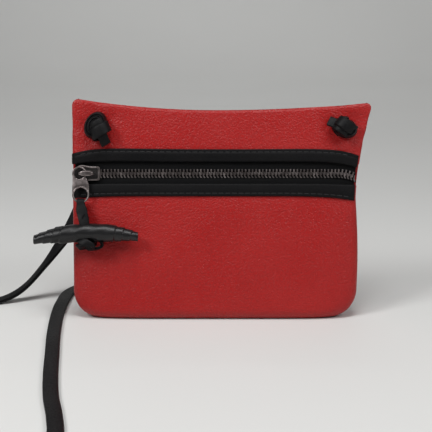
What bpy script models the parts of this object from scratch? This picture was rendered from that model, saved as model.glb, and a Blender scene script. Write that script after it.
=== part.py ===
"""Small crossbody pouch in leather, with a metal zip and a knotted strap. Metres, +Z up, front towards -Y.

The pouch stands on its base. Sizes below are in millimetres, and every mesh is scaled by MM as it is made.
"""

import math

import bmesh
import bpy
from mathutils import Matrix, Vector

MM = 0.001

# The pouch: a wedge, flat under the base, whose front leans back to a thin top edge.
leftHalf = 101.0
rightHalf = 98.7
rightFlare = 11.4  # the right side spreads this much from mid height to the top
flareFrom = 83.0
flarePower = 1.64
nominalTop = 150.0
leanDegrees = 12.0
frontAtBase = -18.0
backAtBase = 20.0
backLean = -0.018
baseCorner = 19.0  # the round corners of the base, seen from the front
baseEdge = 8.0  # the rounding between the base and the walls
topEdge = 2.2
topCorner = 5.0
squareness = 6.0
leather = 1.4
seamGap = 0.3

# The zip and the facings each side of it.
chainHeight = 101.2
panelEdgeAbove = 112.5
panelEdgeBelow = 92.0
facingThickness = 1.3
facingGap = 0.3
foldDepth = -1.0
toothPitch = 2.42
toothWidth = 0.85
teethStart = -88.5
teethCount = 75
chainFront = -0.7
chainBack = -3.3
tapeEnds = (-97.0, 95.0)
tapeFront = -1.7
tapeBack = -2.3

# The slider, in a frame on the face of the pouch: x along the zip, y into the pouch, z up the face.
sliderPlace = (-91.0, 4.13, chainHeight)
sliderHalfLength = 9.6
sliderHalfHeight = 6.0
sliderFront = 1.2
sliderBack = -5.2
plateThickness = 1.3
archGap = 3.6
archStart = -5.2
archEnd = 5.8
ringOuter = 5.0
ringInner = 3.9
tabHole = (-3.4, -14.9)
tabHoleRadius = 4.75
tabRimRadius = 6.0
tabThickness = 1.3
tabFront = 3.4  # how far the middle of the pull's ring stands off the face
tabTilt = 5.0

# The lace, the rolled toggle on it and its knot.
laceWidth = 5.0
laceThickness = 1.8
loopInner = 1.75
loopOuter = 2.9
laceGap = 2.3  # between the lace's end and the toggle that tilts under it
toggleMiddle = (0.6, 9.0, -42.0)
toggleLength = 73.0
toggleRadius = 6.3

# The strap: one length of folded leather from one top corner to the other.
strapWidth = 9.5
strapHole = 11.4
leftHole = (-83.6, 133.0)
rightHole = (90.5, 133.0)
leftKnot = (19.0, 9.6, 19.0)
rightKnot = (21.0, 9.6, 14.0)


def material(name, colour, roughness, metallic=0.0):
    made = bpy.data.materials.new(name)
    made.use_nodes = True
    shader = made.node_tree.nodes["Principled BSDF"]
    shader.inputs["Base Color"].default_value = (*colour, 1.0)
    shader.inputs["Roughness"].default_value = roughness
    shader.inputs["Metallic"].default_value = metallic
    made.diffuse_color = (*colour, 1.0)
    return made


def finish(name, mesh, look, frame=None):
    """An object of this name from a bmesh, placed by a frame."""
    bmesh.ops.recalc_face_normals(mesh, faces=mesh.faces)
    data = bpy.data.meshes.new(name)
    mesh.to_mesh(data)
    mesh.free()
    data.materials.append(look)
    data.shade_smooth()
    data.set_sharp_from_angle(angle=math.radians(35))
    made = bpy.data.objects.new(name, data)
    bpy.context.scene.collection.objects.link(made)
    if frame is not None:
        made.matrix_world = frame
    return made


def cutAway(target, cutter, operation="DIFFERENCE"):
    """A Boolean with a helper that stays in the file as a wire shape."""
    cutter.hide_render = True
    cutter.display_type = "WIRE"
    cut = target.modifiers.new(operation.title(), "BOOLEAN")
    cut.operation = operation
    cut.solver = "EXACT"
    cut.object = cutter


# ---------------------------------------------------------------- the pouch's surface


def quarter(radius, distance):
    """How far a round edge of this radius has drawn in at a distance from its end."""
    inside = max(0.0, radius - distance)
    return radius - math.sqrt(max(0.0, radius * radius - inside * inside))


def halfWidth(height, side):
    """From the middle to the side seam, on the left (-1) or the right (1)."""
    width = leftHalf
    if side > 0:
        above = max(0.0, height - flareFrom) / (nominalTop - flareFrom)
        bulge = 1.8 * math.sin(math.pi * min(1.0, height / flareFrom))
        width = rightHalf + rightFlare * above**flarePower + bulge
    return width - quarter(baseCorner, height) - quarter(topCorner, nominalTop - height)


def depths(height):
    """Middle and half depth of the level section at a height."""
    front = frontAtBase + math.tan(math.radians(leanDegrees)) * height + quarter(baseEdge, height)
    back = backAtBase + backLean * height - quarter(baseEdge, height)
    shut = max(0.0, 1.0 - (max(0.0, height - nominalTop + topEdge) / topEdge) ** 2)
    return (front + back) / 2, (back - front) / 2 * math.sqrt(shut)


def topLine(x):
    """The top edge dips between its corners."""
    rise = 8.5 if x < 0 else 4.5
    return 144.3 + rise * (x / 100.0) ** 2


def faceHeight(x, height):
    """A height with the dip of the top edge added, which fades out lower down."""
    return height * (1.0 + (height / nominalTop) ** 6 * (topLine(x) / nominalTop - 1.0))


def surfacePoint(across, height, face, closing=1.0):
    """A point of the pouch's skin. across runs from -1 to 1, face is -1 in front and 1 behind."""
    x = across * halfWidth(height, across) * (1.0 - 0.02 * (1.0 - closing))
    middle, half = depths(height)
    out = half * max(0.0, 1.0 - abs(across) ** squareness) ** (1.0 / squareness) * closing
    return Vector((x, middle + face * max(out, seamGap / 2), faceHeight(x, height)))


def frontDepth(x, height):
    """The y of the front's skin at an x."""
    middle, half = depths(height)
    across = x / halfWidth(height, x)
    return middle - half * (1.0 - abs(across) ** squareness) ** (1.0 / squareness)


def columns(count=24):
    return [math.sin(math.pi / 2 * (2 * k / count - 1)) for k in range(count + 1)]


def skin(rows, face, layers):
    """A closed sheet over a patch of the skin.

    rows holds (height of x, closing) from the lowest up, and layers each row's distances from the skin.
    """
    across = columns()
    ends = (0, len(across) - 1)
    last = len(rows) - 1
    grid = [[surfacePoint(a, height(a), face, closing) for a in across] for height, closing in rows]
    mesh = bmesh.new()

    def normal(i, j):
        """Straight out, kept level with the seams along the patch's edges."""
        height, closing = rows[i]
        if closing < 1.0:
            return Vector((0.0, 0.0, -1.0))
        up = grid[min(i + 1, last)][j] - grid[max(i - 1, 0)][j]
        side = grid[i][min(j + 1, ends[1])] - grid[i][max(j - 1, 0)]
        out = -face * side.cross(up)
        if j in ends or height(0.0) >= nominalTop:
            out.y = 0.0
        return out.normalized()

    def moved(i, j, distance):
        """A point off the skin, which never crosses the seam to the other wall."""
        place = grid[i][j] + normal(i, j) * distance
        seam = depths(rows[i][0](across[j]))[0] + face * seamGap / 2
        place.y = face * max(face * place.y, face * seam)
        return mesh.verts.new(place * MM)

    outer = [[moved(i, j, layers[i][0]) for j in range(len(across))] for i in range(len(rows))]
    inner = [[moved(i, j, layers[i][1]) for j in range(len(across))] for i in range(len(rows))]
    for i in range(last):
        for j in range(len(across) - 1):
            mesh.faces.new((outer[i][j], outer[i][j + 1], outer[i + 1][j + 1], outer[i + 1][j]))
            mesh.faces.new((inner[i][j], inner[i + 1][j], inner[i + 1][j + 1], inner[i][j + 1]))
        for j in ends:
            mesh.faces.new((outer[i][j], outer[i + 1][j], inner[i + 1][j], inner[i][j]))
    for i in (0, last):
        for j in range(len(across) - 1):
            mesh.faces.new((outer[i][j], inner[i][j], inner[i][j + 1], outer[i][j + 1]))
    return mesh


def level(height):
    return lambda across: height


def drooping(height, left, right, power):
    """A line across the face that drops towards its ends."""
    return lambda across: height - (left if across < 0 else right) * abs(across) ** power


def strapCutter(name, hole):
    """A round bar through both walls, where the strap goes through."""
    mesh = bmesh.new()
    turned = Matrix.Translation(Vector((hole[0], 15.0, hole[1])) * MM)
    turned = turned @ Matrix.Rotation(math.pi / 2, 4, "X")
    bmesh.ops.create_cone(
        mesh, cap_ends=True, segments=16, radius1=strapHole / 2 * MM, radius2=strapHole / 2 * MM,
        depth=40 * MM, matrix=turned,
    )
    return finish(name, mesh, blackLeather)


def makePanels():
    """The back, and the front above and below the zip, with the holes for the strap."""
    base = [(level(0.0), 0.0), (level(0.0), 0.5), (level(0.0), 1.0)]
    rise = [(level(height), 1.0) for height in (0.7, 2.5, 5.5, 10.0, 16.0, 24.0)]
    top = [(level(height), 1.0) for height in (142.0, 147.8, 149.2, 149.8, nominalTop)]
    lower = base + rise + [(level(height), 1.0) for height in (48.0, 70.0, 83.0, panelEdgeBelow)]
    upper = [(drooping(panelEdgeAbove, 3.2, 5.5, 8), 1.0), (level(128.0), 1.0), *top]
    back = base + rise + [(level(height), 1.0) for height in (48.0, 70.0, 83.0, 106.0, 128.0)] + top
    cutters = [strapCutter("hole_left_cutter", leftHole), strapCutter("hole_right_cutter", rightHole)]
    for name, rows, face in (
        ("front_lower_panel", lower, -1),
        ("front_upper_panel", upper, -1),
        ("back_panel", back, 1),
    ):
        panel = finish(name, skin(rows, face, [(0.0, -leather)] * len(rows)), redLeather)
        if name != "front_lower_panel":
            for cutter in cutters:
                cutAway(panel, cutter)


def makeFacings():
    """Black leather strips each side of the zip, each with its inner edge folded back."""
    lies = (facingGap + facingThickness, facingGap)
    folded = (facingGap + facingThickness, foldDepth)
    above = [
        (drooping(109.9, 3.2, 5.5, 8), 1.0),
        (drooping(panelEdgeAbove - 0.8, 3.2, 5.5, 8), 1.0),
        (drooping(panelEdgeAbove - 0.5, 3.2, 5.5, 8), 1.0),
        (drooping(119.0, 5.0, 6.5, 8), 1.0),
    ]
    below = [
        (drooping(85.9, 2.3, 4.2, 6), 1.0),
        (level(panelEdgeBelow + 0.5), 1.0),
        (level(panelEdgeBelow + 0.8), 1.0),
        (drooping(94.6, 1.5, 1.5, 6), 1.0),
    ]
    finish("upper_facing", skin(above, -1, [folded, folded, lies, lies]), blackLeather)
    finish("lower_facing", skin(below, -1, [lies, lies, folded, folded]), blackLeather)


# ---------------------------------------------------------------- the zip


def onFace(x, out, height):
    """A point at a distance out from the front's skin."""
    return Vector((x, frontDepth(x, height) - out / math.cos(math.radians(leanDegrees)), height)) * MM


def makeComb(name, base, tip, spine, shift, frame):
    """One straight row of teeth on the cord at its tape's edge. Heights are from the chain's middle."""
    first = teethStart - sliderPlace[0]
    outline = []
    for k in range(teethCount):
        start = first + k * toothPitch + shift
        outline += [(start, base), (start, tip), (start + toothWidth, tip), (start + toothWidth, base)]
    end = first + teethCount * toothPitch + 0.4
    outline += [(end, base), (end, spine), (first - 0.4, spine), (first - 0.4, base)]
    plate(name, outline, chainFront, chainBack, darkMetal, frame)


def makeTape(name, low, high):
    """The woven tape behind a facing, with its teeth at its inner edge."""
    mesh = bmesh.new()
    steps = 24
    corners = []
    for k in range(steps + 1):
        x = tapeEnds[0] + (tapeEnds[1] - tapeEnds[0]) * k / steps
        section = ((tapeFront, low), (tapeFront, high), (tapeBack, high), (tapeBack, low))
        corners.append([mesh.verts.new(onFace(x, out, z)) for out, z in section])
    for k in range(steps):
        for side in range(4):
            after = (side + 1) % 4
            here, there = corners[k], corners[k + 1]
            mesh.faces.new((here[side], here[after], there[after], there[side]))
    mesh.faces.new(corners[0])
    mesh.faces.new(corners[-1][::-1])
    finish(name, mesh, tapeCloth)


def makeZip(frame):
    makeComb("teeth_upper", 1.7, -1.0, 3.3, 0.0, frame)
    makeComb("teeth_lower", -1.7, 1.0, -3.3, toothPitch / 2, frame)
    makeTape("zip_tape_upper", chainHeight + 3.6, 117.8)
    makeTape("zip_tape_lower", 86.8, chainHeight - 4.4)


# ---------------------------------------------------------------- the slider and its pull


def faceFrame(place):
    """The frame on the leaning face whose origin is place."""
    return Matrix.Translation(Vector(place) * MM) @ Matrix.Rotation(math.radians(-leanDegrees), 4, "X")


def plate(name, outline, front, back, look, frame):
    """An outline in x and z, from front to back, which are distances out from the face."""
    mesh = bmesh.new()
    near = [mesh.verts.new((x * MM, -front * MM, z * MM)) for x, z in outline]
    made = mesh.faces.new(near)
    raised = bmesh.ops.extrude_face_region(mesh, geom=[made])["geom"]
    moved = [v for v in raised if isinstance(v, bmesh.types.BMVert)]
    bmesh.ops.translate(mesh, verts=moved, vec=(0.0, (front - back) * MM, 0.0))
    return finish(name, mesh, look, frame)


def arc(centre, radius, start, end, steps):
    """Points along an arc, with its angles in degrees."""
    turns = [math.radians(start + (end - start) * k / steps) for k in range(steps + 1)]
    return [(centre[0] + radius * math.cos(t), centre[1] + radius * math.sin(t)) for t in turns]


def box(x0, x1, z0, z1):
    return [(x0, z0), (x1, z0), (x1, z1), (x0, z1)]


def bevel(made, width, segments=2):
    edge = made.modifiers.new("Bevel", "BEVEL")
    edge.width = width * MM
    edge.segments = segments
    edge.limit_method = "ANGLE"
    edge.angle_limit = math.radians(40)


def sliderOutline():
    """Wide shoulders on the open side, then a narrower tail over the closed chain."""
    tail = sliderHalfHeight - 1.0
    upper = [
        (sliderHalfLength, tail - 0.6), (sliderHalfLength - 0.8, tail), (2.0, tail),
        (-3.0, sliderHalfHeight), (-6.5, tail - 0.6), (-sliderHalfLength, 1.6),
    ]
    return upper + [(x, -z) for x, z in reversed(upper)]


def makeSlider(frame):
    """Two plates joined by the wedge that parts the teeth, with lips that hold the tapes."""
    inner = sliderFront - plateThickness
    outer = sliderBack + plateThickness
    body = plate("slider_body", sliderOutline(), sliderFront, inner, darkMetal, frame)
    bevel(body, 0.3, 1)
    near, far = sliderFront - 0.5, sliderBack + 0.5
    joined = [
        plate("slider_back_guide", sliderOutline(), outer, sliderBack, darkMetal, frame),
        plate("slider_wedge_guide", box(-8.2, -6.9, -1.1, 1.1), near, far, darkMetal, frame),
    ]
    tail = sliderHalfHeight - 1.0
    for side in (-1, 1):
        low, high = sorted((side * (tail - 0.9), side * tail))
        name = "slider_lip_guide_high" if side > 0 else "slider_lip_guide_low"
        lip = box(-2.0, 8.6, low, high)
        joined.append(plate(name + "_front", lip, near, -0.9, darkMetal, frame))
        joined.append(plate(name + "_back", lip, -3.1, far, darkMetal, frame))
    for extra in joined:
        cutAway(body, extra, "UNION")
    outside = sliderFront + archGap
    foot = sliderFront + 0.3
    profile = [(archStart, foot), (archStart, outside)]
    profile += [(archStart + 1.3, outside + 1.1), (archEnd - 1.3, outside + 1.1), (archEnd, outside)]
    profile.append((archEnd, foot))
    within = [(archEnd - 1.3, foot), (archEnd - 1.3, outside - 0.4), (archEnd - 1.9, outside)]
    within += [(archStart + 1.9, outside), (archStart + 1.3, outside - 0.4), (archStart + 1.3, foot)]
    mesh = bmesh.new()
    side = [mesh.verts.new((x * MM, -out * MM, -0.9 * MM)) for x, out in profile + within]
    raised = bmesh.ops.extrude_face_region(mesh, geom=[mesh.faces.new(side)])["geom"]
    bmesh.ops.translate(
        mesh, verts=[v for v in raised if isinstance(v, bmesh.types.BMVert)], vec=(0.0, 0.0, 1.8 * MM)
    )
    finish("slider_bridge", mesh, darkMetal, frame)


def makePull(frame):
    """A flat tab with a ring round one leg of the bridge, and a large hole for the lace."""
    leg = archStart + 0.65
    tilted = frame @ Matrix.Translation(Vector((leg, -tabFront, 0.0)) * MM)
    tilted = tilted @ Matrix.Rotation(math.radians(-tabTilt), 4, "X")
    hole = (tabHole[0] - leg, tabHole[1])
    half = tabThickness / 2
    outline = arc(hole, tabRimRadius, 180, 360, 12)
    outline += [(hole[0] + tabRimRadius, -6.0), (hole[0] + tabRimRadius - 2.4, -2.4)]
    outline += arc((0.0, 0.0), ringOuter, -15, 195, 12)
    outline += [(hole[0] - tabRimRadius, -5.0)]
    tab = plate("pull_tab", outline, half, -half, darkMetal, tilted)
    within = arc((0.0, 0.0), ringInner, 0, 345, 15)
    cutAway(tab, plate("ring_cutter", within, 3.0, -3.0, darkMetal, tilted))
    opening = arc(hole, tabHoleRadius, 0, 345, 23)
    cutAway(tab, plate("tab_hole_cutter", opening, 3.0, -3.0, darkMetal, tilted))
    return tilted @ Matrix.Translation(
        Vector((hole[0], 0.0, hole[1] - (tabHoleRadius + tabRimRadius) / 2)) * MM
    )


def makeLace(rim, frame):
    """A flat lace looped round the rim of the tab's hole, which slopes out and across to the toggle."""
    start = rim.translation.copy()
    end = Vector((toggleMiddle[0], -toggleMiddle[1], toggleMiddle[2] + toggleRadius + laceGap)) * MM
    way = end - frame.inverted() @ start
    long = way.length / MM
    half = laceWidth / 2
    loopFrame = Matrix.Translation(start) @ Matrix.Rotation(math.radians(-leanDegrees), 4, "X")
    legFrame = loopFrame @ Matrix.Rotation(math.atan2(-way.y, -way.z), 4, "X").inverted()
    legFrame = legFrame @ Matrix.Rotation(math.asin(-way.x / way.length), 4, "Y")
    loopFrame = loopFrame @ Matrix.Rotation(math.pi / 2, 4, "Z")
    lace = plate("pull_lace", arc((0.0, 0.0), loopOuter, 0, 345, 23), half, -half, blackLeather, loopFrame)
    strip = box(-half, half, -long, -loopInner - 0.5)
    leg = plate("lace_leg_guide", strip, laceThickness / 2, -laceThickness / 2, blackLeather, legFrame)
    cutAway(lace, leg, "UNION")
    inside = arc((0.0, 0.0), loopInner, 0, 345, 15)
    hole = plate("lace_loop_cutter", inside, 5.0, -5.0, blackLeather, loopFrame)
    cutAway(lace, hole)


def toggleProfile():
    """Radius against distance from the middle: a strip rolled up to a point leaves a step at each turn."""
    half = toggleLength / 2
    steps = [(0.0, toggleRadius), (12.0, toggleRadius - 0.1), (19.0, 5.8), (19.8, 5.3), (24.5, 5.0)]
    steps += [(25.2, 4.4), (30.0, 4.1), (30.8, 3.6), (half - 0.8, 3.1), (half, 2.4)]
    return [(-x, r) for x, r in reversed(steps[1:])] + steps


def makeToggle(frame):
    """The rolled toggle, the lace inside it, and the knot that keeps it on."""
    turned = frame @ Matrix.Translation(Vector((toggleMiddle[0], -toggleMiddle[1], toggleMiddle[2])) * MM)
    mesh = bmesh.new()
    sides = 12
    rings = [
        [
            mesh.verts.new(Vector((x, r * math.cos(turn), r * math.sin(turn))) * MM)
            for turn in (2 * math.pi * k / sides for k in range(sides))
        ]
        for x, r in toggleProfile()
    ]
    for here, after in zip(rings, rings[1:]):
        for k in range(sides):
            mesh.faces.new((here[k], here[(k + 1) % sides], after[(k + 1) % sides], after[k]))
    mesh.faces.new(rings[0])
    mesh.faces.new(rings[-1][::-1])
    roll = finish("rolled_toggle", mesh, blackLeather, turned)
    half = laceWidth / 2
    through = box(-half - 0.4, half + 0.4, -12, 12)
    slot = plate("toggle_slot_cutter", through, 1.3, -1.3, blackLeather, turned)
    cutAway(roll, slot)
    high = toggleRadius + 0.2
    core = box(-half, half, -high, high)
    plate("toggle_lace", core, laceThickness / 2, -laceThickness / 2, blackLeather, turned)
    knotMesh = bmesh.new()
    bmesh.ops.create_uvsphere(knotMesh, u_segments=12, v_segments=8, radius=1.0)
    bmesh.ops.scale(knotMesh, verts=knotMesh.verts, vec=(9.5 * MM, 4.2 * MM, 3.2 * MM))
    lower = turned @ Matrix.Translation(Vector((3.0, 0.0, -toggleRadius - 3.7)) * MM)
    finish("lace_knot", knotMesh, blackLeather, lower)


# ---------------------------------------------------------------- the strap


def makeKnot(name, hole, size, tailPlace, tailTurn):
    """A tight overhand knot on the front of the pouch, and the strap's end beyond it."""
    x, z = hole
    frame = faceFrame((x, frontDepth(x, z), z))
    mesh = bmesh.new()
    bmesh.ops.create_uvsphere(mesh, u_segments=14, v_segments=8, radius=1.0)
    bmesh.ops.scale(mesh, verts=mesh.verts, vec=[half / 2 * MM for half in size])
    finish(name, mesh, blackLeather, frame @ Matrix.Translation((0.0, -(size[1] / 2 + 0.4) * MM, 0.0)))
    tail = frame @ Matrix.Translation(Vector((tailPlace[0], 0.0, tailPlace[1])) * MM)
    tail = tail @ Matrix.Rotation(math.radians(tailTurn), 4, "Y")
    end = plate(name.replace("knot", "tail"), box(-2.6, 2.6, -2.8, 2.8), 4.0, 0.8, blackLeather, tail)
    bevel(end, 0.5, 1)


# The strap's way: through the left hole, down behind the pouch, out to the left, round on the floor, back
# past the pouch's left side, behind it and up to the right hole.
strapRoute = [
    (-83.6, 10.6, 133.0), (-83.6, 30.0, 133.0), (-84.0, 40.0, 126.0), (-87.0, 43.0, 110.0),
    (-94.0, 41.5, 84.0), (-106.0, 39.0, 57.0), (-119.0, 36.0, 37.0), (-134.0, 32.0, 19.0),
    (-150.0, 27.0, 8.5), (-168.0, 19.0, 4.8), (-196.0, 0.0, 4.8), (-218.0, -32.0, 4.8),
    (-230.0, -75.0, 4.8), (-231.0, -120.0, 4.8), (-222.0, -170.0, 4.8), (-203.0, -216.0, 4.8),
    (-178.0, -250.0, 4.8), (-146.0, -272.0, 4.8), (-112.0, -275.0, 4.8), (-90.0, -255.0, 4.8),
    (-86.0, -218.0, 4.8), (-90.0, -188.0, 4.8), (-96.0, -159.0, 4.8), (-101.0, -125.0, 4.8),
    (-105.0, -90.0, 4.8), (-109.5, -50.0, 4.8), (-112.5, -11.0, 4.8), (-113.0, 20.0, 4.8),
    (-110.0, 48.0, 4.8), (-96.0, 68.0, 4.8), (-72.0, 74.0, 4.8), (-8.0, 64.0, 4.8),
    (24.0, 56.0, 7.0), (52.0, 49.0, 22.0), (72.0, 45.0, 52.0), (83.0, 43.0, 86.0),
    (89.0, 42.0, 112.0), (90.5, 39.0, 127.0), (90.5, 29.0, 133.0), (90.5, 10.8, 133.0),
]


def smoothWay(route, spacing):
    """Evenly spaced points on a Catmull-Rom curve through a route."""
    points = [Vector(p) for p in route]
    points = [2 * points[0] - points[1], *points, 2 * points[-1] - points[-2]]
    fine = []
    for a, b, c, d in zip(points, points[1:], points[2:], points[3:]):
        for k in range(20):
            t = k / 20
            bend = (2 * a - 5 * b + 4 * c - d) * t**2 + (3 * b - a - 3 * c + d) * t**3
            fine.append(0.5 * (2 * b + (c - a) * t + bend))
    fine.append(points[-2])
    length = sum((b - a).length for a, b in zip(fine, fine[1:]))
    count = round(length / spacing)
    way, travelled, target = [fine[0]], 0.0, length / count
    for a, b in zip(fine, fine[1:]):
        step = (b - a).length
        while travelled + step >= target and len(way) < count:
            way.append(a + (b - a) * ((target - travelled) / step))
            target += length / count
        travelled += step
    return way + [fine[-1]]


def makeStrap():
    curve = bpy.data.curves.new("strap", "CURVE")
    curve.dimensions = "3D"
    curve.bevel_depth = strapWidth / 2 * MM
    curve.bevel_resolution = 2
    curve.use_fill_caps = True
    way = smoothWay(strapRoute, 2.2 * strapWidth)
    spline = curve.splines.new("POLY")
    spline.points.add(len(way) - 1)
    for point, place in zip(spline.points, way):
        point.co = (*(place * MM), 1.0)
    curve.materials.append(blackLeather)
    bpy.context.scene.collection.objects.link(bpy.data.objects.new("strap", curve))


# ---------------------------------------------------------------- everything

for old in list(bpy.context.scene.objects):
    bpy.data.objects.remove(old)

redLeather = material("red leather", (0.33, 0.02, 0.02), 0.45)
blackLeather = material("black leather", (0.012, 0.012, 0.013), 0.5)
darkMetal = material("gunmetal", (0.12, 0.10, 0.09), 0.35, 1.0)
tapeCloth = material("black tape", (0.01, 0.01, 0.011), 0.85)

makePanels()
makeFacings()
onSlider = faceFrame(sliderPlace)
makeZip(onSlider)
makeSlider(onSlider)
tabRim = makePull(onSlider)
makeLace(tabRim, onSlider)
makeToggle(onSlider)

makeKnot("strap_knot_left", leftHole, leftKnot, (8.0, -10.2), -25.0)
makeKnot("strap_knot_right", rightHole, rightKnot, (-12.5, 6.5), 60.0)
makeStrap()
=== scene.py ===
import math

import bpy
from mathutils import Matrix, Vector


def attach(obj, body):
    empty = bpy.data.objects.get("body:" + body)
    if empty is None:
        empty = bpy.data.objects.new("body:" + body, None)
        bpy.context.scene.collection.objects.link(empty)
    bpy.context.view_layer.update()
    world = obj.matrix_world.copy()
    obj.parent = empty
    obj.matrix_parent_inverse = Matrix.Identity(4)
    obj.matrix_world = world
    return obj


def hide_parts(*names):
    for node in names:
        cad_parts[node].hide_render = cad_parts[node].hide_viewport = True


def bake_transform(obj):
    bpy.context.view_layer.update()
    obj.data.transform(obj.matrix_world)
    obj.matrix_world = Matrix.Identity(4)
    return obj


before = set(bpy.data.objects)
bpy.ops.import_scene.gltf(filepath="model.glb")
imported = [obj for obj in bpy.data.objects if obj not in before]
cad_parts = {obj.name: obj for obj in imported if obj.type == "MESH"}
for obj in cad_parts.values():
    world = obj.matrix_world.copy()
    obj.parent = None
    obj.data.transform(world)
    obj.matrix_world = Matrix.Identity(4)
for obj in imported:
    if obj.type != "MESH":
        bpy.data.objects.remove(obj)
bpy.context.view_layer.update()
mm = 0.001  # shapes are worked out in millimetres and placed in metres


# tools of the bench

def only(piece):
    bpy.ops.object.select_all(action="DESELECT")
    piece.select_set(True)
    bpy.context.view_layer.objects.active = piece


def named(name):
    piece = bpy.context.active_object
    piece.name = name
    piece.data.name = name
    return piece


def applied(piece, kind, **settings):
    only(piece)
    made = piece.modifiers.new(kind.title(), kind)
    for key, value in settings.items():
        setattr(made, key, value)
    bpy.ops.object.modifier_apply(modifier=made.name)
    return piece


def closed(piece, holes=True):
    # one skin: doubles merged, ends filled, faces out
    only(piece)
    bpy.ops.object.mode_set(mode="EDIT")
    bpy.ops.mesh.select_all(action="SELECT")
    bpy.ops.mesh.remove_doubles(threshold=2e-6)
    if holes:
        bpy.ops.mesh.fill_holes(sides=0)
        bpy.ops.mesh.select_all(action="SELECT")
    bpy.ops.mesh.normals_make_consistent(inside=False)
    bpy.ops.object.mode_set(mode="OBJECT")
    return piece


def loft(name, along, around, place, whole=True):
    # a grid whose crossings are laid on a surface; place(i, j) gives millimetres
    bpy.ops.object.select_all(action="DESELECT")
    bpy.ops.mesh.primitive_grid_add(x_subdivisions=along, y_subdivisions=around, size=2)
    piece = named(name)
    for vertex in piece.data.vertices:
        i = round((vertex.co.x + 1) / 2 * along)
        j = round((vertex.co.y + 1) / 2 * around)
        vertex.co = Vector(place(i, j)) * mm
    return closed(piece) if whole else piece


def smooth(piece, degrees=40):
    only(piece)
    bpy.ops.object.shade_smooth_by_angle(angle=math.radians(degrees))
    return piece


def settled(piece, matrix):
    piece.matrix_world = matrix
    only(piece)
    bpy.ops.object.transform_apply(location=True, rotation=True, scale=True)
    return piece


def joined(name, pieces):
    bpy.ops.object.select_all(action="DESELECT")
    for piece in pieces:
        piece.select_set(True)
    bpy.context.view_layer.objects.active = pieces[0]
    bpy.ops.object.join()
    return named(name)


def fitted(piece, look, body, slot, *nodes):
    # finish, body and the solids a piece stands for
    if look:
        piece.data.materials.clear()
        piece.data.materials.append(look)
    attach(piece, body)
    if nodes:
        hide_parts(*nodes)
    return piece


def ease(t):
    t = min(1.0, max(0.0, t))
    return t * t * (3 - 2 * t)


def smoothWay(route, spacing):
    # evenly spaced points on a Catmull-Rom curve through a route
    points = [Vector(p) for p in route]
    points = [2 * points[0] - points[1], *points, 2 * points[-1] - points[-2]]
    fine = []
    for a, b, c, d in zip(points, points[1:], points[2:], points[3:]):
        for k in range(20):
            t = k / 20
            bend = (2 * a - 5 * b + 4 * c - d) * t**2 + (3 * b - a - 3 * c + d) * t**3
            fine.append(0.5 * (2 * b + (c - a) * t + bend))
    fine.append(points[-2])
    length = sum((b - a).length for a, b in zip(fine, fine[1:]))
    count = round(length / spacing)
    way, travelled, target = [fine[0]], 0.0, length / count
    for a, b in zip(fine, fine[1:]):
        step = (b - a).length
        while travelled + step >= target and len(way) < count:
            way.append(a + (b - a) * ((target - travelled) / step))
            target += length / count
        travelled += step
    return way + [fine[-1]]


def foldedBand(width, thick):
    # section of a strip folded in two: a round fold on one side, two edges on the other
    half, side = thick / 2, width / 2
    points = [(side - half, half), (side - half * 0.3, half * 0.75), (side, 0.0)]
    points += [(side - half * 0.3, -half * 0.75), (side - half, -half), (0.0, -half * 0.94), (-side + half, -half)]
    points += [(-side + 0.15, -half * 0.85), (-side, -half * 0.5), (-side + 0.75, 0.0), (-side, half * 0.5)]
    return points + [(-side + 0.15, half * 0.85), (-side + half, half), (0.0, half * 0.94)]


def ribbon(name, way, section, facing, taper=None):
    # a section carried along a way, its flat side towards facing(k)
    count = len(way) - 1
    sides = []
    for k, point in enumerate(way):
        run = (way[min(k + 1, count)] - way[max(k - 1, 0)]).normalized()
        out = facing(k)
        out = (out - run * out.dot(run)).normalized()
        sides.append((run.cross(out), out))
    ring = [*section, section[0]]

    def place(i, j):
        across, out = ring[j]
        scale = taper(i / count) if taper else 1.0
        return way[i] + sides[i][0] * across * scale + sides[i][1] * out * scale

    return smooth(loft(name, count, len(section), place), 50)


# the pouch's own shape, as its solids have it

pouch = {
    "leftHalf": 101.0, "rightHalf": 98.7, "rightFlare": 11.4, "flareFrom": 83.0, "flarePower": 1.64,
    "top": 150.0, "lean": 12.0, "front": -18.0, "back": 20.0, "backLean": -0.018, "baseCorner": 19.0, "baseEdge": 8.0, "topEdge": 2.2,
    "topCorner": 5.0, "square": 6.0, "leather": 1.4, "gap": 0.15,
}
leanTurn = math.radians(pouch["lean"])


def quarter(radius, distance):
    inside = max(0.0, radius - distance)
    return radius - math.sqrt(max(0.0, radius * radius - inside * inside))


def halfWidth(height, side):
    width = pouch["leftHalf"]
    if side > 0:
        above = max(0.0, height - pouch["flareFrom"]) / (pouch["top"] - pouch["flareFrom"])
        bulge = 1.8 * math.sin(math.pi * min(1.0, height / pouch["flareFrom"]))
        width = pouch["rightHalf"] + pouch["rightFlare"] * above ** pouch["flarePower"] + bulge
    return width - quarter(pouch["baseCorner"], height) - quarter(pouch["topCorner"], pouch["top"] - height)


def depths(height):
    front = pouch["front"] + math.tan(leanTurn) * height + quarter(pouch["baseEdge"], height)
    back = pouch["back"] + pouch["backLean"] * height - quarter(pouch["baseEdge"], height)
    shut = max(0.0, 1.0 - (max(0.0, height - pouch["top"] + pouch["topEdge"]) / pouch["topEdge"]) ** 2)
    return (front + back) / 2, (back - front) / 2 * math.sqrt(shut)


def surface(across, height, face, closing=1.0):
    x = across * halfWidth(height, across) * (1.0 - 0.02 * (1.0 - closing))
    middle, half = depths(height)
    out = half * max(0.0, 1.0 - abs(across) ** pouch["square"]) ** (1 / pouch["square"]) * closing
    dip = 144.3 + (8.5 if x < 0 else 4.5) * (x / 100.0) ** 2
    z = height * (1.0 + (height / pouch["top"]) ** 6 * (dip / pouch["top"] - 1.0))
    return Vector((x, middle + face * max(out, pouch["gap"]), z))


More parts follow.
